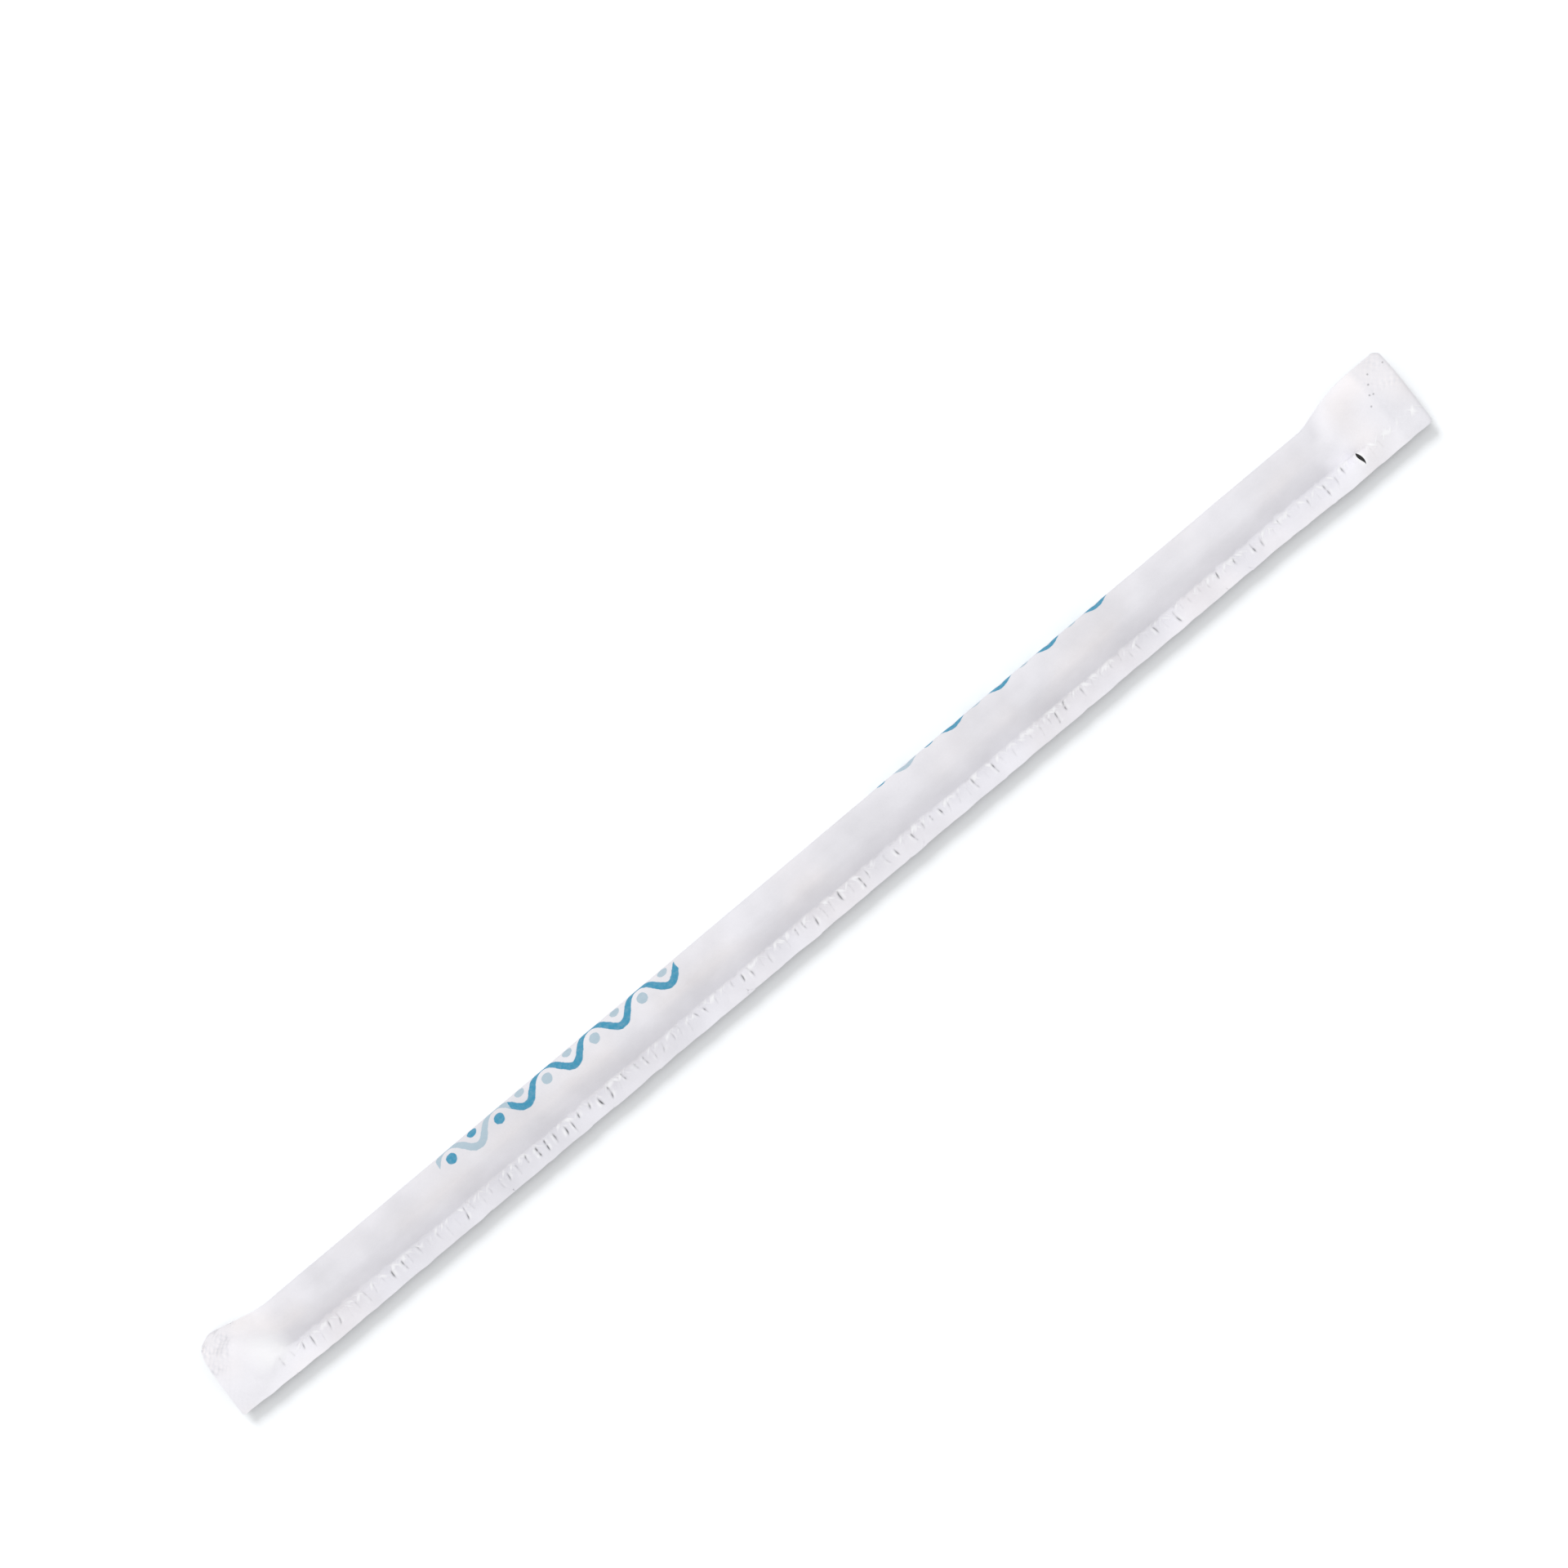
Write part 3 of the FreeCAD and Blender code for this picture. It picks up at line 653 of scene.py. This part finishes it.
def wave_and_dots():
    """The printed motif in two inks: a sine line of even width, with a dot in each of its hollows.

    The line covers every point whose distance from the sine is under the half width, measured square to
    the line. A dot covers every point within its radius of its middle.
    """
    group, given, made = new_group("wave_and_dots", ["Along", "Round", "Start", "Middle"], ["Teal", "Pale"])
    pace = 2 * math.pi / WAVE_LENGTH
    along_motif = work(group, "SUBTRACT", given["Along"], given["Start"])
    across = work(group, "SUBTRACT", given["Round"], given["Middle"])
    turn = work(group, "MULTIPLY", along_motif, pace)
    sine = work(group, "SINE", turn)
    slope = work(group, "MULTIPLY", work(group, "COSINE", turn), pace * WAVE_HEIGHT)
    slant = work(group, "SQRT", work(group, "MULTIPLY_ADD", slope, slope, 1.0))
    from_line = work(group, "ABSOLUTE", work(group, "MULTIPLY_ADD", sine, -WAVE_HEIGHT, across))
    square_to_line = work(group, "DIVIDE", from_line, slant)
    line = fade(group, square_to_line, WAVE_HALF_WIDTH - INK_EDGE, WAVE_HALF_WIDTH + INK_EDGE)
    hollow = work(group, "FRACT", work(group, "DIVIDE", along_motif, WAVE_LENGTH / 2))
    dot_x = work(group, "MULTIPLY_ADD", hollow, WAVE_LENGTH / 2, -WAVE_LENGTH / 4)
    dot_y = work(group, "MULTIPLY_ADD", work(group, "SIGN", sine), DOT_FROM_MIDDLE, across)
    squared = work(group, "MULTIPLY_ADD", dot_x, dot_x, work(group, "POWER", dot_y, 2.0))
    from_dot = work(group, "SQRT", squared)
    dots = fade(group, from_dot, DOT_RADIUS - INK_EDGE, DOT_RADIUS + INK_EDGE)
    from_middle = work(group, "ABSOLUTE", work(group, "SUBTRACT", along_motif, MOTIF_LENGTH / 2))
    inside = fade(group, from_middle, MOTIF_LENGTH / 2 - INK_EDGE, MOTIF_LENGTH / 2 + INK_EDGE)
    line = work(group, "MULTIPLY", line, inside)
    dots = work(group, "MULTIPLY", dots, inside)
    swapped = fade(group, along_motif, SWAPPED_INKS - INK_EDGE, SWAPPED_INKS + INK_EDGE)
    for first, second, ink in ((line, dots, "Teal"), (dots, line, "Pale")):
        own = work(group, "MULTIPLY", first, work(group, "SUBTRACT", 1.0, swapped))
        group.links.new(work(group, "MULTIPLY_ADD", second, swapped, own), made[ink])
    return group


def round_pit():
    """One small pit's painted shade: all within a radius of its place, with a soft rim."""
    group, given, made = new_group("round_pit", ["Along", "Round", "Pit along", "Pit round"], ["Pit"])
    off_along = work(group, "SUBTRACT", given["Along"], given["Pit along"])
    off_round = work(group, "SUBTRACT", given["Round"], given["Pit round"])
    round_squared = work(group, "MULTIPLY", off_round, off_round)
    distance = work(group, "SQRT", work(group, "MULTIPLY_ADD", off_along, off_along, round_squared))
    group.links.new(fade(group, distance, PIT_RADIUS / 2, 1.6 * PIT_RADIUS), made["Pit"])
    return group


paper = bpy.data.materials.new("printed_white_paper")
paper.use_nodes = True
tree = paper.node_tree
shader = tree.nodes["Principled BSDF"]
flat_paper = place(tree, "ShaderNodeUVMap", uv_map="flat_paper").outputs[0]
map_size = [(0, flat_paper), ("Scale", WRAPPER_LENGTH)]
in_millimetres = place(tree, "ShaderNodeVectorMath", map_size, operation="SCALE").outputs[0]


def painted_share(name):
    """The values painted on the mesh under this name."""
    return place(tree, "ShaderNodeAttribute", attribute_name=name).outputs["Fac"]


def noise(scale, detail=2.0, distortion=0.0):
    """Soft noise over the flat paper, with this many patches to a millimetre."""
    inputs = [("Vector", in_millimetres), ("Scale", scale), ("Detail", detail), ("Distortion", distortion)]
    return place(tree, "ShaderNodeTexNoise", inputs).outputs[0]


def slanting_streaks():
    """Fine pulls that slant both ways: the crests of two noises, each stretched along its own slant, used
    as bumps and painted highlights.
    """
    place_on_paper = place(tree, "ShaderNodeSeparateXYZ", [(0, in_millimetres)]).outputs
    crests = 0.0
    for lean in STREAK_LEANS:
        slanted = work(tree, "MULTIPLY_ADD", place_on_paper[1], lean, place_on_paper[0])
        stretched = work(tree, "MULTIPLY", place_on_paper[1], 0.35)
        across = place(tree, "ShaderNodeCombineXYZ", [(0, slanted), (1, stretched), (2, lean)]).outputs[0]
        inputs = [("Vector", across), ("Scale", 1.2), ("Detail", 1.0)]
        streaks = place(tree, "ShaderNodeTexNoise", inputs).outputs[0]
        crests = work(tree, "MAXIMUM", fade(tree, streaks, 0.7, 0.54), crests)
    return crests


def toned(colour, tone):
    """The colour made lighter or darker by one tone."""
    grey = place(tree, "ShaderNodeCombineColor", [(0, tone), (1, tone), (2, tone)]).outputs[0]
    return mixed(tree, 1.0, colour, grey, "MULTIPLY")


grain = noise(3.2, 3.0, 0.4)
clouds = noise(0.12, 5.0)
bleed = noise(1.6, 2.0)
wobble = place(tree, "ShaderNodeTexNoise", [("Vector", in_millimetres), ("Scale", 1.3)]).outputs["Color"]
half_way = [(0, wobble), (1, (0.5, 0.5, 0.5))]
centred = place(tree, "ShaderNodeVectorMath", half_way, operation="SUBTRACT").outputs[0]
moved = [(0, centred), (1, PRINT_WOBBLE), (2, in_millimetres)]
printed_at = place(tree, "ShaderNodeVectorMath", moved, operation="MULTIPLY_ADD").outputs[0]
flat_place = place(tree, "ShaderNodeSeparateXYZ", [(0, printed_at)]).outputs
on_paper = [("Along", flat_place[0]), ("Round", flat_place[1])]

motif = wave_and_dots()
teal = 0.0
pale = 0.0
for start, middle in (FIRST_PRINT, SECOND_PRINT):
    inputs = on_paper + [("Start", start), ("Middle", middle)]
    print_run = place(tree, "ShaderNodeGroup", inputs, node_tree=motif)
    teal = work(tree, "MAXIMUM", print_run.outputs["Teal"], teal)
    pale = work(tree, "MAXIMUM", print_run.outputs["Pale"], pale)

pit = round_pit()
pits = 0.0
for pit_along, pit_round in PITS:
    inputs = on_paper + [("Pit along", WRAPPER_LENGTH / 2 + pit_along), ("Pit round", pit_round)]
    spot = place(tree, "ShaderNodeGroup", inputs, node_tree=pit)
    pits = work(tree, "MAXIMUM", spot.outputs["Pit"], pits)

ink_cover = work(tree, "MINIMUM", work(tree, "MULTIPLY_ADD", bleed, INK_PATCHES, INK_COVER), 1.0)
warmth = fade(tree, noise(0.07, 1.0), 0.62, 0.4)
bare = mixed(tree, warmth, WHITE_PAPER, WARM_WHITE_PAPER)
# The crimped seam's grey, and painted shade following the bands' embossing.
bare = mixed(tree, painted_share("crimp_grey_and_embossing_shade"), bare, CRIMP_GREY_AND_SHADE)
# The straw's grey, and painted shade in the pocket by the seam's root.
bare = mixed(tree, painted_share("straw_and_pocket_shade"), bare, STRAW_GREY_AND_POCKET_SHADE)
cloudy = toned(bare, work(tree, "MULTIPLY_ADD", clouds, CLOUDS, 1.0 - CLOUDS / 2))
fibrous = toned(cloudy, work(tree, "MULTIPLY_ADD", grain, FIBRES, 1.0 - FIBRES / 2))
# The pulls are bumped, and painted lighter as highlights.
pulls_and_highlights = work(tree, "MULTIPLY", slanting_streaks(), painted_share("pulls"))
# Painted highlights on the lips, the pulls and the left end.
raised = mixed(tree, work(tree, "MAXIMUM", painted_share("raised"), pulls_and_highlights), fibrous, HIGHLIGHT_WHITE)
# Painted shade in the dents' hollows, with the crushed paper there a little greyer too.
dent_shade = work(tree, "POWER", painted_share("dent_shading"), 1.3)
shaded = mixed(tree, work(tree, "MULTIPLY", dent_shade, DENT_SHADE_STRENGTH), raised, SHADE_GREY)
shaded = mixed(tree, work(tree, "MULTIPLY", painted_share("cut_shade"), CUT_DARKNESS), shaded, SHADE_GREY)
# Painted shade in the small pits by the right band.
shaded = mixed(tree, work(tree, "MULTIPLY", pits, PIT_SHADE), shaded, SHADE_GREY)
# Painted shadow at the bottom of the split's pocket.
shaded = mixed(tree, painted_share("inside"), shaded, SPLIT_SHADOW)
pale_inked = mixed(tree, work(tree, "MULTIPLY", pale, ink_cover), shaded, PALE_INK)
inked = mixed(tree, work(tree, "MULTIPLY", teal, ink_cover), pale_inked, TEAL_INK)
tree.links.new(inked, shader.inputs["Base Color"])
roughness = work(tree, "MULTIPLY_ADD", grain, FIBRE_ROUGHNESS, SMOOTHEST)
tree.links.new(roughness, shader.inputs["Roughness"])
height = work(tree, "MULTIPLY_ADD", noise(0.9, 2.0), 1.6, grain)
height = work(tree, "MULTIPLY_ADD", pulls_and_highlights, 3.0, height)
bump_inputs = [("Height", height), ("Distance", GRAIN_HEIGHT * MILLIMETRE), ("Strength", 1.0)]
bump = place(tree, "ShaderNodeBump", bump_inputs)
tree.links.new(bump.outputs[0], shader.inputs["Normal"])

mesh.materials.append(paper)
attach(wrapper, "root")
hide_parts("wrapped_straw")

# The table and the light
# A plain white table under a pale, even sky, with a soft lamp from the fold's side. A lower lamp lights
# the table alone, for the wrapper's shadow on it. What the camera and reflections see of the sky is white.
TABLE_SIZE = 8.0  # metres
TABLE_CLEARANCE = 0.03  # millimetres
SKY = 0.86
LAMP = 0.5
LAMP_HEIGHT = 55.0  # degrees above the table
LAMP_SOFTNESS = 60.0  # degrees that the lamp is wide
TABLE_LAMP = 3.6
TABLE_LAMP_HEIGHT = 29.0
TABLE_LAMP_SOFTNESS = 23.0
WHITE = (1.0, 1.0, 1.0, 1.0)
TABLE_GREY = (0.6, 0.6, 0.6, 1.0)  # the table's colour for the light that it throws on the wrapper
TABLE_SHARE = (0.606, 0.62, 0.634, 1.0)  # its colour as it is seen, so that it is white under both lamps
TABLE_GLOW = 0.12

half = TABLE_SIZE / 2
table_mesh = bpy.data.meshes.new("table")
table_corners = [(-half, -half), (half, -half), (half, half), (-half, half)]
table_top = -TABLE_CLEARANCE * MILLIMETRE
table_mesh.from_pydata([(x, y, table_top) for x, y in table_corners], [], [(0, 1, 2, 3)])
table = bpy.data.objects.new("table", table_mesh)
bpy.context.scene.collection.objects.link(table)


def seen_directly(tree):
    """One for camera, reflected and refracted rays, and zero for the light that falls on things."""
    path = tree.nodes.new("ShaderNodeLightPath").outputs
    reflected = work(tree, "MAXIMUM", path["Is Glossy Ray"], path["Is Transmission Ray"])
    return work(tree, "MAXIMUM", path["Is Camera Ray"], reflected)


table_paint = bpy.data.materials.new("white_table")
table_paint.use_nodes = True
tree = table_paint.node_tree
tree.nodes.clear()
lighting = place(tree, "ShaderNodeBsdfDiffuse", [("Color", TABLE_GREY)]).outputs[0]
lit = place(tree, "ShaderNodeBsdfDiffuse", [("Color", TABLE_SHARE)]).outputs[0]
glow = place(tree, "ShaderNodeEmission", [("Color", WHITE), ("Strength", TABLE_GLOW)]).outputs[0]
shown = place(tree, "ShaderNodeAddShader", [(0, lit), (1, glow)]).outputs[0]
both_faces = [(0, seen_directly(tree)), (1, lighting), (2, shown)]
either = place(tree, "ShaderNodeMixShader", both_faces).outputs[0]
place(tree, "ShaderNodeOutputMaterial", [("Surface", either)])
table_mesh.materials.append(table_paint)

world = bpy.data.worlds.new("pale_sky")
world.use_nodes = True
tree = world.node_tree
strength = work(tree, "MULTIPLY_ADD", seen_directly(tree), 1.0 - SKY, SKY)
sky = tree.nodes["Background"]
sky.inputs["Color"].default_value = WHITE
tree.links.new(strength, sky.inputs["Strength"])
bpy.context.scene.world = world


def far_lamp(name, strength, height, softness):
    """A far lamp on the fold's side, at a height in degrees above the table."""
    data = bpy.data.lights.new(name, "SUN")
    data.energy = strength
    data.angle = math.radians(softness)
    made = bpy.data.objects.new(name, data)
    made.rotation_euler = (math.radians(height - 90.0), 0.0, 0.0)
    made.location = (0.0, 0.5, 0.5)
    bpy.context.scene.collection.objects.link(made)
    return made


far_lamp("soft_lamp", LAMP, LAMP_HEIGHT, LAMP_SOFTNESS)
table_lamp = far_lamp("table_lamp", TABLE_LAMP, TABLE_LAMP_HEIGHT, TABLE_LAMP_SOFTNESS)
only_table = bpy.data.collections.new("lit_by_table_lamp")
only_table.objects.link(table)
table_lamp.light_linking.receiver_collection = only_table

# The camera
# It looks straight down, turned so that the wrapper runs up from the lower left to the upper right.
FRAME_WIDTH = 0.2408  # metres of table across the picture
FRAME_MIDDLE = (0.00667, 0.01216)
FRAME_TURN = -40.117
LENS = 100.0
SENSOR = 36.0

camera_data = bpy.data.cameras.new("camera")
camera_data.lens = LENS
camera_data.sensor_width = SENSOR
camera_data.sensor_height = SENSOR
camera_data.clip_start = 0.01
camera = bpy.data.objects.new("camera", camera_data)
camera.location = (*FRAME_MIDDLE, FRAME_WIDTH * LENS / SENSOR)
camera.rotation_euler = (0.0, 0.0, math.radians(FRAME_TURN))
bpy.context.scene.collection.objects.link(camera)
bpy.context.scene.camera = camera
bpy.context.scene.view_settings.view_transform = "Standard"
